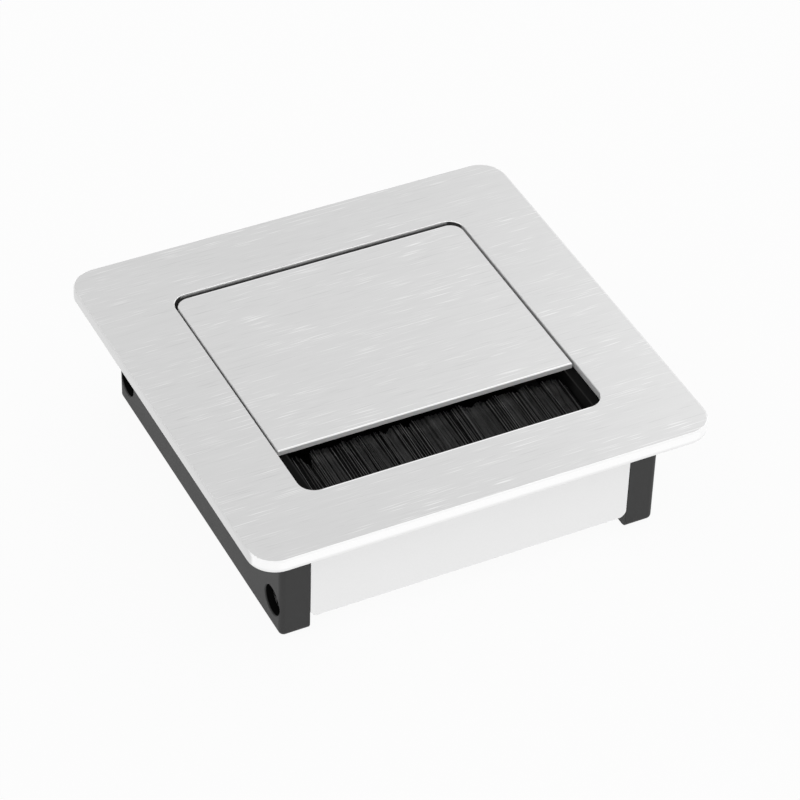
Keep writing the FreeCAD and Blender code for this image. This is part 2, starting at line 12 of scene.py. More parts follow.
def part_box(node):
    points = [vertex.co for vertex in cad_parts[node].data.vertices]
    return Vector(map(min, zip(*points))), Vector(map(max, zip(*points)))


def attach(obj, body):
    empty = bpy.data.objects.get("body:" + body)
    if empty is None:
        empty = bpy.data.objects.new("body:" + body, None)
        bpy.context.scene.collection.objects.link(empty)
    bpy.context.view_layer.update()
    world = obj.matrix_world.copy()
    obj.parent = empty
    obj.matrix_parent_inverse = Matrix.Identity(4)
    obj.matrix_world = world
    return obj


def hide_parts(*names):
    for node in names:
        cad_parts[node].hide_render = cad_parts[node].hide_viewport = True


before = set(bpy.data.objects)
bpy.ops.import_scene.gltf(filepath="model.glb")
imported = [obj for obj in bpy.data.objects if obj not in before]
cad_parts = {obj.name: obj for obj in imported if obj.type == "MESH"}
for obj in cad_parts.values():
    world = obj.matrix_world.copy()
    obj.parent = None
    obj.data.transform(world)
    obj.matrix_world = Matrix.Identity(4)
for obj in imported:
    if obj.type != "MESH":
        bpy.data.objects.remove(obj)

LOG = logging.getLogger("grommet")
MM = 0.001
WHITE = (1.0, 1.0, 1.0, 1.0)

# attribute of the brush's mesh: 0 on dull filaments, up to 1 on shiny ones, whose paler colour is
# painted sheen
SHINE = "shine"

# a face looks along an axis where its normal's part along that axis rises between these
FLAT = (0.93, 0.985)

# half the width of the border between two tones on one face, in millimetres
SOFT = 0.05


class Face(Enum):
    """Flat faces of a piece, by the axis of the piece that they look along."""

    LEVEL = "Z"
    FORWARD = "Y"
    SIDEWAYS = "X"


class Shader:
    """Node tree of one material or of the world."""

    def __init__(self, owner: bpy.types.Material | bpy.types.World) -> None:
        """Empty the owner's node tree.

        Args:
            owner: the material or world.
        """
        self.owner = owner
        owner.use_nodes = True
        self.tree = owner.node_tree
        self.tree.nodes.clear()

    @classmethod
    def of_finish(cls, name: str) -> "Shader":
        """Start the tree of a new material."""
        return cls(bpy.data.materials.new(name))

    def node(self, kind: str, settings: dict | None = None,
             inputs: dict | None = None) -> bpy.types.Node:
        """Add one node.

        Args:
            kind: the node's type.
            settings: properties that are set first.
            inputs: values or links of its sockets, by name or number.

        Returns:
            The new node.
        """
        made = self.tree.nodes.new(kind)
        for key, setting in (settings or {}).items():
            setattr(made, key, setting)
        for key, given in (inputs or {}).items():
            self.feed(made.inputs[key], given)
        return made

    def feed(self, socket: bpy.types.NodeSocket, given: "Term | float | tuple") -> None:
        """Link a term to a socket, or set the socket's own value.

        Args:
            socket: the socket that takes it.
            given: a term, a number or a tuple of numbers.
        """
        if isinstance(given, Term):
            self.tree.links.new(given.socket, socket)
        else:
            socket.default_value = given

    def term(self, kind: str, settings: dict | None = None, inputs: dict | None = None,
             output: int | str = 0) -> "Term":
        """Add one node and take one of its outputs.

        Args:
            kind: the node's type.
            settings: properties that are set first.
            inputs: values or links of its sockets, by name or number.
            output: name or number of the output.

        Returns:
            The output as a term.
        """
        return Term(self, self.node(kind, settings, inputs).outputs[output])

    def place(self) -> "Term":
        """Return the point on the piece, in millimetres in its own frame."""
        return self.term("ShaderNodeTexCoord", output="Object").scaled((1 / MM, 1 / MM, 1 / MM))

    def leaning(self, axis: str) -> "Term":
        """Return how far the surface looks along one axis of its piece, either way."""
        return self.term("ShaderNodeTexCoord", output="Normal").part(axis).absolute()

    def facing(self, face: Face) -> "Term":
        """Return 1 on the flat faces of one kind, and less from a few degrees off."""
        return self.leaning(face.value).between(*FLAT)

    def ray(self, kind: str) -> "Term":
        """Return 1 for rays of one kind and 0 for the others."""
        return self.term("ShaderNodeLightPath", output=kind)

    def bump(self, height: "Term", depth: float) -> "Term":
        """Turn a grey height into a normal, with the depth of a full step in millimetres."""
        return self.term("ShaderNodeBump", inputs={"Distance": depth * MM, "Height": height},
                         output="Normal")

    def surface(self, **inputs: "Term | float | tuple") -> "Term":
        """Add one principled surface.

        Args:
            inputs: its sockets, with underscores for spaces.

        Returns:
            The surface.
        """
        named = {key.replace("_", " "): given for key, given in inputs.items()}
        return self.term("ShaderNodeBsdfPrincipled", inputs=named)

    def blend(self, factor: "Term", low: "Term", high: "Term") -> "Term":
        """Mix two surfaces, from low where the factor is 0 to high where it is 1."""
        return self.term("ShaderNodeMixShader", inputs={0: factor, 1: low, 2: high})

    def close(self, shader: "Term",
              output: str = "Material") -> bpy.types.Material | bpy.types.World:
        """Link a shader to the tree's output.

        Args:
            shader: the shader.
            output: Material or World.

        Returns:
            The finished material or world.
        """
        self.node(f"ShaderNodeOutput{output}", inputs={"Surface": shader})
        return self.owner


@dataclass(frozen=True)
class Term:
    """One output of a node, with arithmetic on its value."""

    shader: Shader
    socket: bpy.types.NodeSocket

    def _math(self, operation: str, first: "Term | float",
              second: "Term | float" = 0.0) -> "Term":
        """Add a Math node on two values."""
        return self.shader.term("ShaderNodeMath", {"operation": operation}, {0: first, 1: second})

    def __add__(self, other: "Term | float") -> "Term":
        """Add."""
        return self._math("ADD", self, other)

    __radd__ = __add__

    def __sub__(self, other: "Term | float") -> "Term":
        """Take away."""
        return self._math("SUBTRACT", self, other)

    def __rsub__(self, other: "Term | float") -> "Term":
        """Take this away from a number."""
        return self._math("SUBTRACT", other, self)

    def __mul__(self, other: "Term | float") -> "Term":
        """Multiply."""
        return self._math("MULTIPLY", self, other)

    __rmul__ = __mul__

    def absolute(self) -> "Term":
        """Return the size of the value."""
        return self._math("ABSOLUTE", self)

    def larger(self, other: "Term | float") -> "Term":
        """Return the larger of two values."""
        return self._math("MAXIMUM", self, other)

    def between(self, low: float, high: float) -> "Term":
        """Rise smoothly from 0 at low to 1 at high."""
        return self.shader.term("ShaderNodeMapRange", {"interpolation_type": "SMOOTHSTEP"}, {
            "Value": self, "From Min": low, "From Max": high, "To Min": 0.0, "To Max": 1.0})

    def past(self, edge: float, border: float = SOFT) -> "Term":
        """Rise from 0 to 1 across an edge, over a border on either side of it."""
        return self.between(edge - border, edge + border)

    def mix(self, low: "Term | float", high: "Term | float") -> "Term":
        """Go from low to high as this goes from 0 to 1."""
        return low + self * (high - low)

    def swing(self, depth: float) -> "Term":
        """Swing evenly round 0, by a depth in all, as this goes from 0 to 1."""
        return (self - 0.5) * depth

    def part(self, axis: str) -> "Term":
        """Return a vector's part along X, Y or Z."""
        return self.shader.term("ShaderNodeSeparateXYZ", inputs={0: self}, output=axis)

    def scaled(self, factors: tuple[float, float, float]) -> "Term":
        """Multiply a vector by one number for each axis."""
        return self.shader.term("ShaderNodeVectorMath", {"operation": "MULTIPLY"},
                                {0: self, 1: factors})

    def grey(self) -> "Term":
        """Return the value as a grey colour."""
        return self.shader.term("ShaderNodeCombineColor", inputs={0: self, 1: self, 2: self})


@dataclass(frozen=True)
class Grain:
    """Noise in a finish: its frequency along each axis, and the greys that it is cut to."""

    frequency: tuple[float, float, float]
    detail: float = 2.0
    rough: float = 0.5
    window: tuple[float, float] | None = None

    def over(self, place: Term) -> Term:
        """Look the noise up.

        Args:
            place: the point on the piece, in millimetres.

        Returns:
            Its grey, from 0 to 1.
        """
        grey = place.shader.term("ShaderNodeTexNoise", inputs={
            "Vector": place.scaled(self.frequency), "Scale": 1.0,
            "Detail": self.detail, "Roughness": self.rough})
        return grey.between(*self.window) if self.window else grey


@dataclass(frozen=True)
class Well:
    """Walls of the window and of the lid in it: lighter in front, and painted darker in the gap as
    shade.
    """

    half_width: float
    half_length: float
    rim: float
    depth: float
    gap_start: float
    open_tone: float
    # the tones from here to the corner's are painted shade in the gap
    upper_tone: float
    lower_tone: float
    side_tone: float
    corner_tone: float
    border: tuple[float, float] = (0.02, 0.08)
    gap_border: float = 0.5

    def walls(self, place: Term) -> Term:
        """Tell the walls in the well from all that lies outside it or above its rim.

        Args:
            place: the point on the piece, in millimetres.

        Returns:
            1 on the walls.
        """
        across = place.part("X").absolute() - self.half_width
        along = place.part("Y").absolute() - self.half_length
        outside = across.larger(along).between(*self.border)
        return (1 - outside) * (1 - place.part("Z").past(self.rim))

    def tone(self, place: Term, outside: Term, gap_tone: Term | float) -> Term:
        """Choose between the tones outside the well, in its open front and in its gap, which is
        painted shade.

        Args:
            place: the point on the piece, in millimetres.
            outside: tone outside the well.
            gap_tone: painted shade tone in the gap.

        Returns:
            The tone.
        """
        gap = place.part("Y").past(self.gap_start, self.gap_border)
        return self.walls(place).mix(outside, gap.mix(self.open_tone, gap_tone))

    def depth_shade(self, place: Term) -> Term:
        """Paint shade on the rear walls: their tone falls with depth."""
        below = place.part("Z").between(self.rim - self.depth, self.rim)
        return below.mix(self.lower_tone, self.upper_tone)


@dataclass(frozen=True)
class EdgeLine:
    """Painted highlight: bright line along X on a level face, where its edge catches the light."""

    start: float
    end: float
    half_length: float
    tone: float
    fade: float = 1.0

    @classmethod
    def in_front(cls, edge: float, half_length: float, rounded: float = 0.31) -> "EdgeLine":
        """Paint a highlight line along a rounded front edge.

        Args:
            edge: where the edge is along Y, in millimetres.
            half_length: half the length of the line.
            rounded: width of the rounding that still looks level.

        Returns:
            The line.
        """
        return cls(edge - rounded, edge + rounded, half_length, tone=0.97)

    @classmethod
    def behind(cls, edge: float, half_length: float, tone: float, broken: float = 0.12,
               width: float = 0.25, corner: float = 2.75) -> "EdgeLine":
        """Paint a highlight line on the broken edge where a face ends towards the rear, short of
        its corners.

        Args:
            edge: where the edge is along Y, in millimetres.
            half_length: half the length of the edge.
            tone: tone of the line.
            broken: width of the chamfer.
            width: width of the line.
            corner: length of each rounded corner that is left out.

        Returns:
            The line.
        """
        return cls(edge - broken - width, edge - broken, half_length - corner, tone)

    def over(self, place: Term, plain: Term) -> Term:
        """Lay the painted highlight over the tone of the face.

        Args:
            place: the point on the piece, in millimetres.
            plain: tone of the face.

        Returns:
            The tone with the line.
        """
        along = place.part("Y")
        off_end = place.part("X").absolute().between(self.half_length - self.fade, self.half_length)
        line = along.past(self.start) * (1 - along.past(self.end)) * (1 - off_end)
        return line.mix(plain, self.tone)


@dataclass(frozen=True)
class BrushedAluminium:
    """Clear anodised aluminium: brushed where level, matt where cut, with painted light: painted
    highlights on its edges, a tone for each kind of face, painted shade in the well.
    """

    name: str
    level_tone: float
    # Painted light: band_tone, front_tone and side_tone give each kind of face its own brightness,
    # and edge_tone is a painted highlight on the roundings.
    band_tone: float
    front_tone: float
    side_tone: float
    band_foot: float
    lines: tuple[EdgeLine, ...]
    well: Well
    edge_tone: float = 0.97
    band_rise: tuple[float, float] = (0.45, 1.1)
    ahead: tuple[float, float] = (0.05, 0.3)
    streak_depth: float = 0.04
    wisp_depth: float = 0.17
    wisp_share: tuple[float, float] = (0.15, 1.0)
    stroke_depth: float = 0.07
    stroke_share: tuple[float, float] = (1.0, 0.5)
    saw_share: tuple[float, float] = (0.97, 1.03)
    gap_share: tuple[float, float] = (0.6, 1.4)
    mottle_depth: float = 0.03
    roughness: float = 0.32
    cut_roughness: float = 0.85
    streak_roughness: float = 0.16
    mottle_roughness: float = 0.06
    relief: float = 0.004
    mottle_height: float = 0.3
    streaks: Grain = Grain((0.16, 9.0, 9.0), 3.0, 0.6)
    mottle: Grain = Grain((2.5, 2.5, 2.5), 4.0, 0.6)
    bands: Grain = Grain((0.05, 0.7, 0.7), 2.0, 0.6)
    wisps: Grain = Grain((0.15, 5.2, 5.2), 1.0, 0.4, (0.59, 0.74))
    strokes: Grain = Grain((0.143, 4.68, 4.68), 1.0, 0.4, (0.62, 0.76))
    patches: Grain = Grain((0.06, 0.16, 0.16), 1.0, 0.5, (0.38, 0.62))
    saw_lines: Grain = Grain((1.0, 0.3, 6.0), 2.0, 0.6)

    def material(self) -> bpy.types.Material:
        """Make the finish.

        Returns:
            The material.
        """
        shader = Shader.of_finish(self.name)
        place = shader.place()
        streaks, mottle = self.streaks.over(place), self.mottle.over(place)
        level, forward, sideways = (shader.facing(face) for face in Face)
        cut = 1 - level
        # Painted light: each kind of face takes its own tone, the roundings a painted highlight in
        # front and painted shade in the well.
        tone = (level * self.brushed(place, streaks) + forward * self.front(place)
                + sideways * self.side(place) + (cut - forward - sideways) * self.edge(place)
                + cut * mottle.swing(self.mottle_depth))
        rough = (level.mix(self.cut_roughness, self.roughness)
                 + level * streaks.swing(self.streak_roughness)
                 + mottle.swing(self.mottle_roughness))
        height = streaks * level + mottle * cut * self.mottle_height
        return shader.close(shader.surface(
            Base_Color=tone.grey(), Metallic=1.0, Roughness=rough,
            Normal=shader.bump(height, self.relief)))

    def brushed(self, place: Term, streaks: Term) -> Term:
        """Lay fine streaks, pale wisps and darker strokes along X.

        Args:
            place: the point on the piece, in millimetres.
            streaks: grey of the finest lines.

        Returns:
            The tone of the level faces.
        """
        patches = self.patches.over(place)
        tone = (self.level_tone + streaks.swing(self.streak_depth)
                + self.bands.over(place).swing(self.streak_depth)
                + self.wisps.over(place) * patches.mix(*self.wisp_share) * self.wisp_depth
                - self.strokes.over(place) * patches.mix(*self.stroke_share) * self.stroke_depth)
        # Painted highlights along the edges.
        for line in self.lines:
            tone = line.over(place, tone)
        return tone

    def band(self, place: Term) -> Term:
        """Tell the bright band of painted reflection along the plate's front from all below it."""
        low, high = self.band_rise
        return place.part("Z").between(self.band_foot + low, self.band_foot + high)

    def front(self, place: Term) -> Term:
        """Return the painted light of the forward faces: the skirt's tone, the plate's bright band
        of painted reflection and the painted shade on the well's rear wall.
        """
        open_faces = self.band(place).mix(self.front_tone, self.band_tone)
        return self.well.tone(place, open_faces, self.well.depth_shade(place))

    def side(self, place: Term) -> Term:
        """Give the faces that look sideways faint saw lines on a painted-light tone, with painted
        shade in the well's gap.

        Args:
            place: the point on the piece, in millimetres.

        Returns:
            Their tone.
        """
        lines = self.saw_lines.over(place)
        return self.well.tone(place, self.side_tone * lines.mix(*self.saw_share),
                              self.well.side_tone * lines.mix(*self.gap_share))

    def edge(self, place: Term) -> Term:
        """Paint a highlight on the roundings where they look forward, and paint shade on them in
        the well.

        Args:
            place: the point on the piece, in millimetres.

        Returns:
            Their tone.
        """
        ahead = place.shader.leaning("Y").between(*self.ahead)
        bright = self.band(place).mix(self.front_tone, self.edge_tone)
        return self.well.tone(place, ahead.mix(self.side_tone, bright), self.well.corner_tone)


@dataclass(frozen=True)
class Recess:
    """Round recesses for the screw heads, one near each end of either bracket."""

    along: float
    height: float
    radius: float
    mouth: float
    border: float = 0.1
    mouth_depth: float = 0.25

    def inside(self, place: Term) -> Term:
        """Tell the walls and floors of the recesses from all round them.

        Args:
            place: the point on the piece, in millimetres.

        Returns:
            1 in the recesses.
        """
        along = place.part("Y").absolute() - self.along
        height = place.part("Z") - self.height
        outside = (along * along + height * height).between(
            self.radius ** 2, (self.radius + self.border) ** 2)
        return (1 - outside) * (1 - place.part("X").absolute().past(self.mouth - self.mouth_depth))


@dataclass(frozen=True)
class MouldedPlastic:
    """Black moulded plastic: satin outside, and on ledges, rails and recesses a dull, deeper black
    that is painted shade.
    """

    name: str
    tone: float
    sheen: float = 0.4
    # painted shade: a darker, duller copy for ledges, rails and recesses
    inner_tone: float = 0.0045
    inner_sheen: float = 0.06
    inner_border: tuple[float, float] = (0.8, 0.4)
    # painted light on the ledges' rims and the rails' walls
    rim_tone: float = 0.015
    rim_width: float = 0.25
    rim_border: float = 0.1
    wall_tone: float = 0.008
    wall_end: tuple[float, float] = (-21.5, -18.5)
    roughness: float = 0.6
    inner_roughness: float = 0.85
    grain_roughness: float = 0.14
    cloud_roughness: float = 0.1
    cloud_share: tuple[float, float] = (0.8, 1.2)
    relief: float = 0.006
    grain: Grain = Grain((7.0, 7.0, 7.0), 3.0, 0.6)
    cloud: Grain = Grain((0.25, 0.25, 0.25))

    def material(self, inside: float, ledge: float, recess: Recess) -> bpy.types.Material:
        """Make the finish.

        Args:
            inside: half the width between the brackets' bars, in millimetres.
            ledge: half the width between the ledges, in millimetres.
            recess: the recesses for the screws.

        Returns:
            The material.
        """
        shader = Shader.of_finish(self.name)
        place = shader.place()
        grain, cloud = self.grain.over(place), self.cloud.over(place)
        shade = cloud.mix(*self.cloud_share)
        rough = grain.swing(self.grain_roughness) + cloud.swing(self.cloud_roughness)
        normal = shader.bump(grain, self.relief)
        outer = shader.surface(Base_Color=(self.tone * shade).grey(), Normal=normal,
                               Roughness=self.roughness + rough, Specular_IOR_Level=self.sheen)
        # Painted shade: the ledges, rails and recesses take a darker, duller copy, lightened by
        # painted light on rims and walls.
        inner_tone = self.inner_tone + self.ledge_light(place, ledge)
        inner = shader.surface(Base_Color=(inner_tone * shade).grey(), Normal=normal,
                               Roughness=self.inner_roughness + rough,
                               Specular_IOR_Level=self.inner_sheen)
        start, end = (inside - border for border in self.inner_border)
        open_face = place.part("X").absolute().between(start, end) * (1 - recess.inside(place))
        return shader.close(shader.blend(open_face, inner, outer))

    def ledge_light(self, place: Term, ledge: float) -> Term:
        """Paint light on the ledges' inner rims, and on the rails' walls near the brush channel.

        Args:
            place: the point on the piece, in millimetres.
            ledge: half the width between the ledges, in millimetres.

        Returns:
            What is added to the inner tone.
        """
        beyond_rim = place.part("X").absolute().past(ledge + self.rim_width, self.rim_border)
        rim = place.shader.facing(Face.LEVEL) * (1 - beyond_rim)
        wall = place.shader.facing(Face.SIDEWAYS) * (1 - place.part("Y").between(*self.wall_end))
        return rim * self.rim_tone + wall * self.wall_tone


@dataclass(frozen=True)
class PlatedSteel:
    """Plated or drawn steel, with faint lines along X and a cloudy sheen."""

    name: str
    tone: float
    roughness: float
    drawn_share: tuple[float, float] = (0.85, 1.0)
    cloud_share: float = 0.15
    cloud_roughness: float = 0.2
    relief: float = 0.003
    drawn: Grain = Grain((0.3, 12.0, 12.0))
    cloud: Grain = Grain((1.4, 1.4, 1.4), 3.0, 0.6)

    def material(self) -> bpy.types.Material:
        """Make the finish.

        Returns:
            The material.
        """
        shader = Shader.of_finish(self.name)
        place = shader.place()
        drawn, cloud = self.drawn.over(place), self.cloud.over(place)
        tone = self.tone * (drawn.mix(*self.drawn_share) + cloud * self.cloud_share)
        return shader.close(shader.surface(
            Base_Color=tone.grey(), Metallic=1.0, Normal=shader.bump(drawn, self.relief),
            Roughness=self.roughness + cloud.swing(self.cloud_roughness)))


@dataclass(frozen=True)
class NylonFilament:
    """Black nylon: dull filaments in the brush, shinier ones on it whose paler colour is painted
    sheen, and painted light that makes all paler at the tips.
    """

    name: str
    tone: float
    # painted sheen: the shiny filaments' paler tone
    shiny_tone: float
    tone_spread: tuple[float, float] = (0.3, 1.3)
    shiny_spread: tuple[float, float] = (0.6, 1.3)
    # painted light at the tips: how far before them, and how strongly, the tone is painted paler
    tip_light_length: float = 3.5
    plain_level: float = 0.5
    tip_light: float = 2.0
    sheen: float = 0.1
    shiny_sheen: float = 0.5
    roughness: float = 0.42
    roughness_spread: float = 0.2
    cloud: Grain = Grain((1.1, 0.25, 0.0))

    def material(self, tips: float) -> bpy.types.Material:
        """Make the finish.

        Args:
            tips: where the tips are along Y, in millimetres.

        Returns:
            The material.
        """
        shader = Shader.of_finish(self.name)
        place = shader.place()
        strand = shader.term("ShaderNodeNewGeometry", output="Random Per Island")
        shine = shader.term("ShaderNodeAttribute", {"attribute_name": SHINE}, output="Fac")
        # Painted light: the tone rises over the last stretch before the tips, where the lid's shade
        # falls.
        tip = place.part("Y").between(tips - self.tip_light_length, tips)
        cloud_and_tip_light = self.plain_level + self.cloud.over(place) + self.tip_light * tip
        rough = self.roughness + strand * self.roughness_spread
        # The shiny filaments' paler colour is painted sheen; their higher specular level is real.
        dull, shiny = (
            shader.surface(Base_Color=(tone * strand.mix(*spread) * cloud_and_tip_light).grey(), Roughness=rough,
                           Specular_IOR_Level=sheen)
            for tone, spread, sheen in ((self.tone, self.tone_spread, self.sheen),
                                        (self.shiny_tone, self.shiny_spread, self.shiny_sheen)))
        return shader.close(shader.blend(shine, dull, shiny))


def box_mm(node: str) -> tuple[list[float], list[float]]:
    """Return a node's lowest and highest corners at rest, in millimetres."""
    low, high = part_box(node)
    return [part / MM for part in low], [part / MM for part in high]


def dress(node: str, material: bpy.types.Material) -> None:
    """Give a node of the frame its finish.

    Args:
        node: name of the node.
        material: the finish.
    """
    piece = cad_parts[node]
    piece.data.materials.clear()
    piece.data.materials.append(material)
    LOG.info("%s: %s", node, material.name)


@dataclass
class Housing:
    """Extruded frame with its end brackets and their screws."""

    level_tone: float = 0.64
    # painted light: brighter tones for the band, the skirt, the side faces and the edge line
    band_tone: float = 0.99
    front_tone: float = 0.9
    side_tone: float = 0.78
    line_tone: float = 0.85
    band_height: float = 2.6
    window: tuple[float, float] = (56.5, 56.3)
    rim_drop: float = 0.15
    head_play: float = 0.35
    plastic: MouldedPlastic = MouldedPlastic("bracket_moulded", 0.033)
    screws: PlatedSteel = PlatedSteel("screw_black_zinc", 0.12, 0.35)

    def dress(self) -> None:
        """Give the frame, the brackets and the screws their finishes."""
        dress("top_frame", self.aluminium().material())
        inside = box_mm("brush_channel")[1][0]
        ledge = box_mm("right_bracket")[0][0]
        plastic = self.plastic.material(inside, ledge, self.recess())
        for side in ("left", "right"):
            dress(f"{side}_bracket", plastic)
        dress("bracket_screws", self.screws.material())

    def aluminium(self) -> BrushedAluminium:
        """Fit the brushed finish to the plate and its window.

        Returns:
            The finish.
        """
        low, high = box_mm("top_frame")
        half_width, half_length = (side / 2 for side in self.window)
        # The well's gap tones paint shade on the window's rear, side and corner walls.
        well = Well(half_width, half_length, rim=high[2] - self.rim_drop, depth=0.8,
                    gap_start=box_mm("lid")[0][1], open_tone=0.68, upper_tone=0.75,
                    lower_tone=0.16, side_tone=0.65, corner_tone=0.12)
        # Painted highlights along the plate's front edge and the window's front edge.
        lines = (EdgeLine.in_front(low[1], 2 * half_width),
                 EdgeLine.behind(-half_length, half_width, self.line_tone))
        return BrushedAluminium("frame_brushed", self.level_tone, self.band_tone, self.front_tone,
                                self.side_tone, high[2] - self.band_height, lines, well)

    def recess(self) -> Recess:
        """Measure the screw recesses from the screws.

        Returns:
            The recesses.
        """
        (_, _, bottom), (_, back, top) = box_mm("bracket_screws")
        head = (top - bottom) / 2
        return Recess(along=back - head, height=bottom + head, radius=head + self.head_play,
                      mouth=box_mm("right_bracket")[1][0])


@dataclass
class Lid:
    """Flip-up lid and its hinge rod."""

    level_tone: float = 0.65
    # painted light: tones for the lid's lip, sides and edge line
    lip_tone: float = 0.75
    side_tone: float = 0.66
    line_tone: float = 0.74
    rim_drop: float = 0.2
    margin: float = 1.0
    rod: PlatedSteel = PlatedSteel("rod_drawn", 0.55, 0.25)

    def dress(self) -> None:
        """Give the lid and the rod their finishes."""
        (_, front, _), (side, rear, top) = box_mm("lid")
        # Painted shade on the lid's side and rear edges in the gap.
        well = Well(side + self.margin, rear + self.margin, rim=top - self.rim_drop, depth=1.0,
                    gap_start=front + self.margin, open_tone=self.lip_tone,
                    upper_tone=self.lip_tone, lower_tone=0.3, side_tone=0.4, corner_tone=0.4)
        # Painted highlights along the lid's front and rear edges.
        lines = (EdgeLine.in_front(front, 2 * side),
                 EdgeLine.behind(rear, side, self.line_tone))
        finish = BrushedAluminium("lid_brushed", self.level_tone, self.lip_tone, self.lip_tone,
                                  self.side_tone, 0.0, lines, well)
        dress("lid", finish.material())
        dress("hinge_rod", self.rod.material())


@dataclass(frozen=True)
class Bundle:
    """Neighbouring filaments that lean, rise, end and shine together."""

    left: float
    right: float
    lean: float
    rise: float
    reach: float
    pull: float
    shine: float


@dataclass(frozen=True)
class Notch:
    """Place where the filaments end short, in a V."""

    middle: float
    depth: float
    half_width: float

    def cut(self, x: float) -> float:
        """Return how much shorter a filament at x is."""
        return self.depth * max(0.0, 1 - abs(x - self.middle) / self.half_width)


@dataclass
class Brush:
    """Strip brush: a folded channel, a wire and filaments folded round the wire."""

    body: str = "frame"
    seed: int = 7
    density: float = 13 / MM
    thin: float = 0.13 * MM
    thick: float = 0.20 * MM
    top_pitch: tuple[float, float] = (0.28 * MM, 0.62 * MM)
    top_rise: float = 0.3 * MM
    top_shine: tuple[float, float] = (0.6, 1.0)
    bundle_width: tuple[float, float] = (0.6 * MM, 2.0 * MM)
    bundle_lean: float = 0.07 * MM
    bundle_rise: float = 0.15 * MM
    bundle_reach: float = 0.12 * MM
    bundle_pull: float = 0.15
    # a bundle's shine also paints sheen into its filaments' colour
    bundle_shines: tuple[float, ...] = (0.0, 0.0, 0.38)
    fold_points: int = 4
    limb_points: int = 6
    sides: int = 3
    fold_gap: float = 0.06 * MM
    edge_gap: float = 0.2 * MM
    lift: float = 1.0 * MM
    spread: float = 0.2 * MM
    overlap: float = 0.8 * MM
    scatter: float = 0.15 * MM
    stray: float = 0.05 * MM
    wild: float = 2.0 * MM
    wild_share: float = 0.015
    wild_end: float = 3.8 * MM
    wild_end_share: float = 0.35
    notches: tuple[Notch, ...] = (
        Notch(-22.9 * MM, 3.9 * MM, 1.2 * MM), Notch(-17.2 * MM, 0.5 * MM, 1.5 * MM),
        Notch(-8.0 * MM, 1.1 * MM, 1.2 * MM), Notch(-3.8 * MM, 1.2 * MM, 1.0 * MM),
        Notch(8.2 * MM, 1.1 * MM, 1.4 * MM), Notch(11.2 * MM, 1.0 * MM, 1.0 * MM),
        Notch(17.0 * MM, 1.0 * MM, 1.4 * MM), Notch(21.4 * MM, 1.0 * MM, 1.0 * MM),
        Notch(26.1 * MM, 4.2 * MM, 1.3 * MM),
    )
    nylon: NylonFilament = NylonFilament("bristle_black_nylon", 0.006, 0.1)
    channel: PlatedSteel = PlatedSteel("channel_zinc", 0.5, 0.38)
    wire: PlatedSteel = PlatedSteel("wire_drawn", 0.5, 0.3)
    points: list[Vector] = field(default_factory=list)
    faces: list[tuple[int, ...]] = field(default_factory=list)
    shines: list[float] = field(default_factory=list)

    def build(self) -> bpy.types.Object:
        """Make the filaments in place of the solid bristles.

        Returns:
            The new piece.
        """
        low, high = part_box("brush_bristles")
        wire_low, wire_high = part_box("brush_wire")
        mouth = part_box("brush_channel")[1][1]
        wire = (Vector(wire_low) + Vector(wire_high)) / 2
        smallest = (wire_high[2] - wire_low[2]) / 2 + self.fold_gap
        largest = wire.z - low[2] - self.thick
        dice = random.Random(self.seed)
        corner = Vector((high[0] - self.edge_gap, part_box("lid")[0][1], wire.z))
        for bundle in self.bundles(low[0] + self.edge_gap, corner.x, dice):
            for x, rise, shine in self.starts(bundle, dice):
                radius = largest if rise else dice.uniform(smallest, largest)
                ends = [self.tip(x, bundle, corner, dice) for _ in range(2)]
                ends[0].z += rise
                path = self.path(x, wire, radius, mouth, ends)
                self.add_strand(path, dice.uniform(self.thin, self.thick), shine)
        piece = self.piece(self.nylon.material(corner.y / MM))
        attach(piece, self.body)
        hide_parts("brush_bristles")
        LOG.info("brush_filaments: %d faces", len(self.faces))
        return piece

    def piece(self, material: bpy.types.Material) -> bpy.types.Object:
        """Make one mesh of all the filaments.

        Args:
            material: their finish.

        Returns:
            The piece.
        """
        mesh = bpy.data.meshes.new("brush_filaments")
        mesh.from_pydata(self.points, [], self.faces)
        mesh.polygons.foreach_set("use_smooth", [True] * len(mesh.polygons))
        mesh.attributes.new(SHINE, "FLOAT", "POINT").data.foreach_set("value", self.shines)
        mesh.update()
        mesh.materials.append(material)
        piece = bpy.data.objects.new("brush_filaments", mesh)
        bpy.context.scene.collection.objects.link(piece)
        return piece

    def bundles(self, left: float, right: float, dice: random.Random) -> list[Bundle]:
        """Divide the brush into bundles of uneven width.

        Args:
            left: left end of the brush.
            right: right end of the brush.
            dice: source of chance.

        Returns:
            The bundles from left to right.
        """
        found = []
        start = left
        while start < right:
            end = min(start + dice.uniform(*self.bundle_width), right)
            found.append(Bundle(
                start, end, lean=dice.gauss(0, self.bundle_lean),
                rise=dice.uniform(-self.bundle_rise, self.bundle_rise),
                reach=dice.uniform(-self.bundle_reach, self.bundle_reach),
                pull=dice.uniform(0.0, self.bundle_pull), shine=dice.choice(self.bundle_shines)))
            start = end
        return found

    def starts(self, bundle: Bundle, dice: random.Random) -> list[tuple[float, float, float]]:
        """Place a bundle's filaments: many inside it, and on a dull one a few shiny ones on top,
        with painted sheen.

        Args:
            bundle: the bundle.
            dice: source of chance.

        Returns:
            For each filament its place along X, how much its tip rises above the others, and its
            shine.
        """
        count = round((bundle.right - bundle.left) * self.density)
        found = [(dice.uniform(bundle.left, bundle.right), 0.0, bundle.shine)
                 for _ in range(count)]
        x = bundle.left + dice.uniform(*self.top_pitch) / 2
        while x < bundle.right and not bundle.shine:
            found.append((x, self.top_rise, dice.uniform(*self.top_shine)))
            x += dice.uniform(*self.top_pitch)
        return found

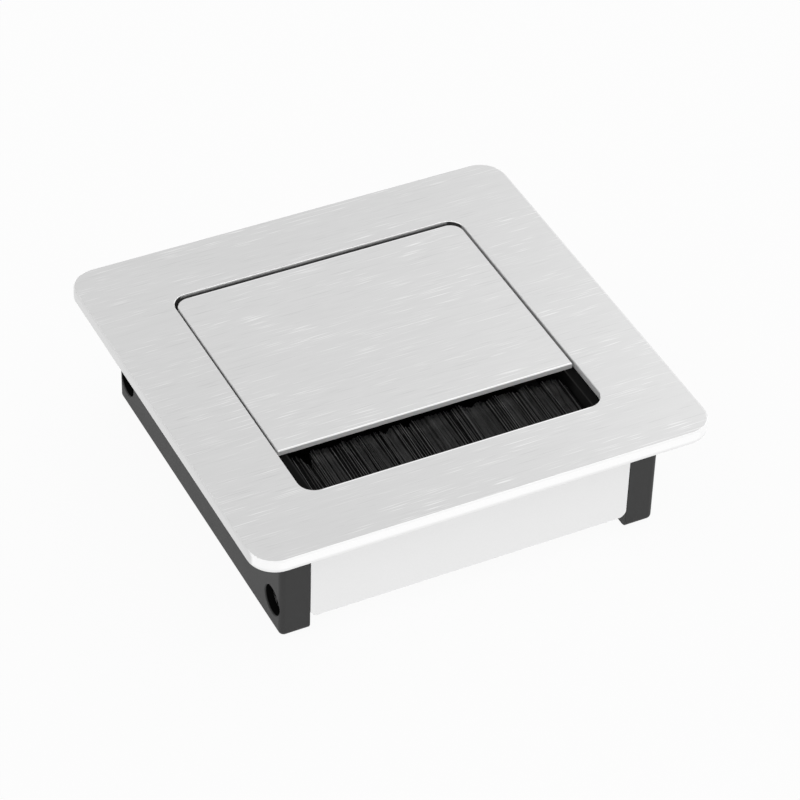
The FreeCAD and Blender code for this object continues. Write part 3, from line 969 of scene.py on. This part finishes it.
    def tip(self, x: float, bundle: Bundle, corner: Vector, dice: random.Random) -> Vector:
        """Choose where a filament ends.

        Args:
            x: where its fold is.
            bundle: the bundle that it belongs to.
            corner: right end of the brush, at the lid's front edge and the wire's height.
            dice: source of chance.

        Returns:
            The tip.
        """
        across = x + (bundle.left / 2 + bundle.right / 2 - x) * bundle.pull + bundle.lean
        share = self.wild_end_share if corner.x - x < self.wild_end else self.wild_share
        if dice.random() < share:
            across += dice.uniform(-self.wild, self.wild)
        else:
            across += dice.gauss(0, self.stray)
        short = sum(notch.cut(across) for notch in self.notches)
        short += abs(dice.gauss(0, self.scatter))
        return Vector((
            min(across, corner.x),
            corner.y + self.overlap + bundle.reach - short,
            corner.z + self.lift + bundle.rise + dice.uniform(-self.spread, self.spread),
        ))

    def path(self, x: float, wire: Vector, radius: float, mouth: float,
             ends: list[Vector]) -> list[Vector]:
        """Lay a filament from one tip round the wire to the other tip.

        Args:
            x: where its fold is.
            wire: a point on the wire's axis.
            radius: radius of the fold.
            mouth: where the channel ends.
            ends: the two tips.

        Returns:
            Points along it.
        """
        upper = self.limb(Vector((x, wire.y, wire.z + radius)), mouth, ends[0])
        lower = self.limb(Vector((x, wire.y, wire.z - radius)), mouth, ends[1])
        fold = []
        for i in range(1, self.fold_points):
            angle = math.pi * i / self.fold_points
            fold.append(Vector((x, wire.y - radius * math.sin(angle),
                                wire.z + radius * math.cos(angle))))
        return upper[::-1] + fold + lower

    def limb(self, start: Vector, mouth: float, tip: Vector) -> list[Vector]:
        """Lay one limb: level inside the channel, then bending gently to its tip.

        Args:
            start: where it leaves the fold.
            mouth: where the channel ends.
            tip: its end.

        Returns:
            Points along it.
        """
        out = Vector((start.x, mouth, start.z))
        line = [start, out]
        for i in range(1, self.limb_points):
            share = i / (self.limb_points - 1)
            ease = share * share * (3 - 2 * share) / 2 + share / 2
            line.append(out + Vector((
                (tip.x - out.x) * ease, (tip.y - out.y) * share, (tip.z - out.z) * ease)))
        return line

    def add_strand(self, path: list[Vector], thickness: float, shine: float) -> None:
        """Wrap a thin tube round a path.

        Args:
            path: points along it.
            thickness: diameter of the tube.
            shine: 0 for a dull filament and 1 for a shiny one.
        """
        first = len(self.points)
        across = Vector((1, 0, 0))
        for i, point in enumerate(path):
            ahead = path[min(i + 1, len(path) - 1)] - path[max(i - 1, 0)]
            up = across.cross(ahead).normalized()
            for k in range(self.sides):
                angle = 2 * math.pi * k / self.sides
                out = across * math.cos(angle) + up * math.sin(angle)
                self.points.append(point + out * thickness / 2)
        for i in range(len(path) - 1):
            for k in range(self.sides):
                a = first + i * self.sides + k
                b = first + i * self.sides + (k + 1) % self.sides
                self.faces.append((a, b, b + self.sides, a + self.sides))
        self.shines.extend([shine] * (len(self.points) - first))
        last = first + (len(path) - 1) * self.sides
        self.faces.append(tuple(range(first + self.sides - 1, first - 1, -1)))
        self.faces.append(tuple(range(last, last + self.sides)))

    def dress(self) -> None:
        """Give the channel and the wire their finishes."""
        dress("brush_channel", self.channel.material())
        dress("brush_wire", self.wire.material())


@dataclass
class Studio:
    """White floor and world, one soft lamp and the photograph's camera."""

    focal_px: float = 3464.0
    image_px: float = 800.0
    sensor_mm: float = 36.0
    clip: tuple[float, float] = (0.01, 20.0)
    camera_place: tuple[float, float, float] = (-209.6 * MM, -410.85 * MM, 403.35 * MM)
    azimuth: float = 27.394
    elevation: float = -40.240
    roll: float = 1.879
    floor_half: float = 3.0
    floor_tone: float = 0.8
    # shade_tone is painted shade: the floor's tone under the object
    shade_tone: float = 0.02
    shade_edge: float = 0.5
    shade_inset: tuple[float, float] = (2.0, 4.5)
    camera_share: float = 0.94
    glossy_share: float = 1.0
    sky: float = 1.0
    fill: float = 0.75
    key_place: tuple[float, float, float] = (0.706, 0.408, 0.38)
    key_width: float = 0.7
    key_power: float = 0.75

    def build(self) -> None:
        """Set up the world, the floor, the lamp and the camera."""
        self.world()
        self.floor()
        self.lamp("key", self.key_place, self.key_width, self.key_power)
        self.camera()
        bpy.context.scene.view_settings.view_transform = "Standard"

    def world(self) -> None:
        """White for the camera and for reflections, softer for plain light."""
        world = bpy.data.worlds.new("white_studio")
        bpy.context.scene.world = world
        shader = Shader(world)
        seen = shader.ray("Is Camera Ray").larger(shader.ray("Is Glossy Ray")).larger(
            shader.ray("Is Transmission Ray"))
        fill, sky = (shader.term("ShaderNodeBackground", inputs={"Color": WHITE, "Strength": level})
                     for level in (self.fill, self.sky))
        shader.close(shader.blend(seen, fill, sky), "World")

    def floor(self) -> None:
        """Pale floor, white to the camera but for a faint shadow, and painted near black under the
        object as shade.
        """
        half = self.floor_half
        mesh = bpy.data.meshes.new("floor")
        mesh.from_pydata([(-half, -half, 0), (half, -half, 0), (half, half, 0), (-half, half, 0)],
                         [], [(0, 1, 2, 3)])
        floor = bpy.data.objects.new("floor", mesh)
        bpy.context.scene.collection.objects.link(floor)
        shader = Shader.of_finish("floor_white")
        outside = self.outside_footprint(shader)
        seen = (shader.ray("Is Camera Ray") * self.camera_share
                + shader.ray("Is Glossy Ray") * self.glossy_share)
        shaded, lit = (
            shader.term("ShaderNodeBsdfDiffuse", inputs={"Color": (tone, tone, tone, 1.0)})
            for tone in (self.shade_tone, self.floor_tone))
        white = shader.term("ShaderNodeEmission", inputs={"Color": WHITE, "Strength": 1.0})
        # Painted shade: under the object the floor takes the near-black tone.
        ground = shader.blend(outside, shaded, lit)
        finish = shader.close(shader.blend(seen * outside, ground, white))
        finish.cycles.emission_sampling = "NONE"
        mesh.materials.append(finish)

    def outside_footprint(self, shader: Shader) -> Term:
        """Tell the floor round the object from the floor under it, which is painted dark as shade.

        Args:
            shader: the floor's tree.

        Returns:
            0 under the object and 1 round it.
        """
        low, high = box_mm("left_bracket")
        place = shader.place()
        across = place.part("X").absolute() - (abs(low[0]) - self.shade_inset[0])
        along = place.part("Y").absolute() - (high[1] - self.shade_inset[1])
        return across.larger(along).past(0.0, self.shade_edge)

    def lamp(self, name: str, place: tuple[float, float, float], width: float,
             power: float) -> None:
        """Aim one square lamp at the object.

        Args:
            name: its name.
            place: where it hangs, in metres.
            width: its side, in metres.
            power: its power, in watts.
        """
        light = bpy.data.lights.new(name, "AREA")
        light.size = width
        light.energy = power
        lamp = bpy.data.objects.new(name, light)
        bpy.context.scene.collection.objects.link(lamp)
        lamp.location = place
        lamp.rotation_mode = "QUATERNION"
        lamp.rotation_quaternion = (-Vector(place)).to_track_quat("-Z", "Y")

    def camera(self) -> None:
        """Stand the camera where the photograph was taken."""
        data = bpy.data.cameras.new("photo_camera")
        data.sensor_width = self.sensor_mm
        data.lens = self.focal_px * self.sensor_mm / self.image_px
        data.clip_start, data.clip_end = self.clip
        camera = bpy.data.objects.new("photo_camera", data)
        bpy.context.scene.collection.objects.link(camera)
        turn, tilt, roll = (math.radians(a) for a in (self.azimuth, self.elevation, self.roll))
        ahead = Vector((math.sin(turn) * math.cos(tilt), math.cos(turn) * math.cos(tilt),
                        math.sin(tilt)))
        level = Vector((math.cos(turn), -math.sin(turn), 0))
        upright = level.cross(ahead)
        right = level * math.cos(roll) + upright * math.sin(roll)
        up = upright * math.cos(roll) - level * math.sin(roll)
        axes = Matrix((right, up, -ahead)).transposed().to_4x4()
        camera.matrix_world = Matrix.Translation(self.camera_place) @ axes
        bpy.context.scene.camera = camera


def main() -> None:
    """Build the scene round the frame."""
    logging.basicConfig(level=logging.INFO, format="%(name)s: %(message)s")
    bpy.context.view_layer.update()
    Housing().dress()
    Lid().dress()
    brush = Brush()
    brush.build()
    brush.dress()
    Studio().build()


if __name__ == "__main__":
    main()
